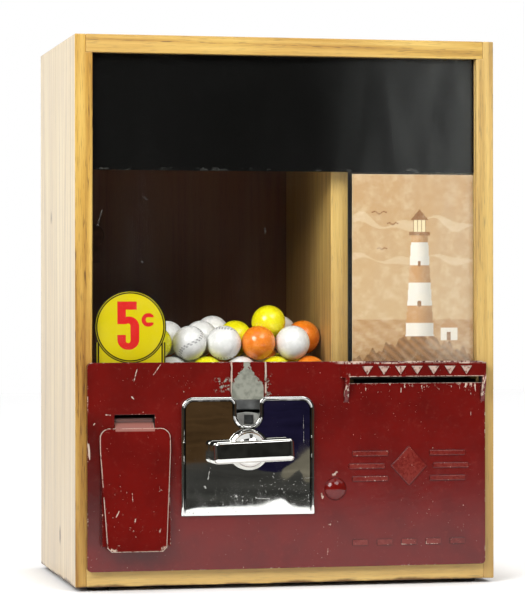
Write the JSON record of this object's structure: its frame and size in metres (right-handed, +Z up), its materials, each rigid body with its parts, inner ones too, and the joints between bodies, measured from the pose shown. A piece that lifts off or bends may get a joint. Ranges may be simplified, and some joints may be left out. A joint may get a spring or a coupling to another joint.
{
  "type": "counter vending cabinet",
  "caption": "Oak counter vending cabinet with a glazed window, red front casting, turn handle, gumball flap, card slot and rear door.",
  "frame": {"origin": "on the floor under the middle of the machine's overall box", "axes": "+Z up, +Y from the front to the back, +X to the right as seen from the front"},
  "size_m": [0.3048, 0.2087, 0.39],
  "materials": {
    "oak": "varnished oak",
    "rubber": "matte",
    "glass": "clear, smudged",
    "mask": "black paint on the glass",
    "steel": "plain",
    "zinc": "dull die casting or sheet",
    "decal": "printed film",
    "red_paint": "glossy enamel with chips",
    "chrome": "polished plating",
    "hopper_paint": "dark brown enamel",
    "gum_white": "sugar shell",
    "gum_yellow": "sugar shell",
    "gum_orange": "sugar shell",
    "picture_card": "printed card",
    "paper": "card stock",
    "bronze": "oiled bearing bronze",
    "brass": "dull brass",
    "drum": "machined"
  },
  "bodies": {
    "cabinet": {"side_left": "oak", "side_right": "oak", "top_board": "oak", "bottom_board": "oak", "divider": "oak", "feet": "rubber", "window_glass": "glass", "glass_mask": "mask", "glass_sill": "steel", "price_decal": "decal", "front_casting": "red_paint", "casting_pins": "steel", "casting_block": "oak", "front_bolt": "red_paint", "front_bolt_nut": "steel", "coin_plate": "chrome", "plate_studs": "steel", "plate_nuts": "steel", "coin_housing": "zinc", "coin_chute": "zinc", "coin_tray": "zinc", "pawl_pin": "steel", "rear_bracket": "steel", "hopper_floor": "hopper_paint", "drum_housing": "zinc", "gum_chute": "zinc", "flap_pin": "steel", "gumballs_white": "gum_white", "gumballs_yellow": "gum_yellow", "gumballs_orange": "gum_orange", "card_floor": "steel", "magazine_front": "steel", "display_card": "picture_card", "card_stack": "paper", "shaft_bushes": "bronze", "hinge_leaves": "brass", "hinge_pins": "steel", "hinge_screws": "brass", "lock_keeper": "steel"},
    "handle": {"handle": "chrome", "handle_shaft": "steel", "coin_wheel": "zinc", "ratchet_wheel": "steel", "gum_drum": "drum", "crown_wheel": "steel"},
    "card_drive": {"cross_shaft": "steel", "lantern_pinion": "steel", "feed_hubs": "drum", "feed_tyres": "rubber"},
    "pawl": {"ratchet_pawl": "steel"},
    "flap": {"gum_flap": "red_paint"},
    "door": {"back_door": "oak", "door_leaves": "brass", "door_screws": "brass", "lock_barrel": "chrome"},
    "lock_core": {"lock_plug": "brass", "lock_cam": "steel"},
    "weight": {"card_weight": "steel"},
    "loose_card": {"vend_card": "paper"}
  },
  "joints": [
    {"name": "handle_turn", "type": "hinge", "parent": "cabinet", "child": "handle", "pos_m": [-0.0304, 0, 0.0986], "axis": [0, 1, 0], "continuous": true},
    {"name": "card_drive_turn", "type": "hinge", "parent": "cabinet", "child": "card_drive", "pos_m": [0, 0.02315, 0.0986], "axis": [1, 0, 0], "continuous": true},
    {"name": "ratchet_pawl_rock", "type": "hinge", "parent": "cabinet", "child": "pawl", "pos_m": [-0.0044, -0.07185, 0.1146], "axis": [0, 1, 0], "range_deg": [0, 10]},
    {"name": "gum_flap_swing", "type": "hinge", "parent": "cabinet", "child": "flap", "pos_m": [-0.111, -0.07785, 0.1195], "axis": [-1, 0, 0], "range_deg": [0, 55]},
    {"name": "back_door_swing", "type": "hinge", "parent": "cabinet", "child": "door", "pos_m": [0.1392, 0.10195, 0.1965], "axis": [0, 0, -1], "range_deg": [0, 110]},
    {"name": "lock_cam_turn", "type": "hinge", "parent": "door", "child": "lock_core", "pos_m": [-0.115, 0.09115, 0.253], "axis": [0, 1, 0], "range_deg": [0, 90]},
    {"name": "card_weight_lift", "type": "slide", "parent": "cabinet", "child": "weight", "axis": [0, 0, 1], "range_m": [0, 0.12]},
    {"name": "card_pull", "type": "slide", "parent": "cabinet", "child": "loose_card", "axis": [0, -1, 0], "range_m": [0, 0.185]}
  ],
  "couplings": [
    {"joint": "card_drive_turn", "follows": "handle_turn", "ratio": -1}
  ]
}
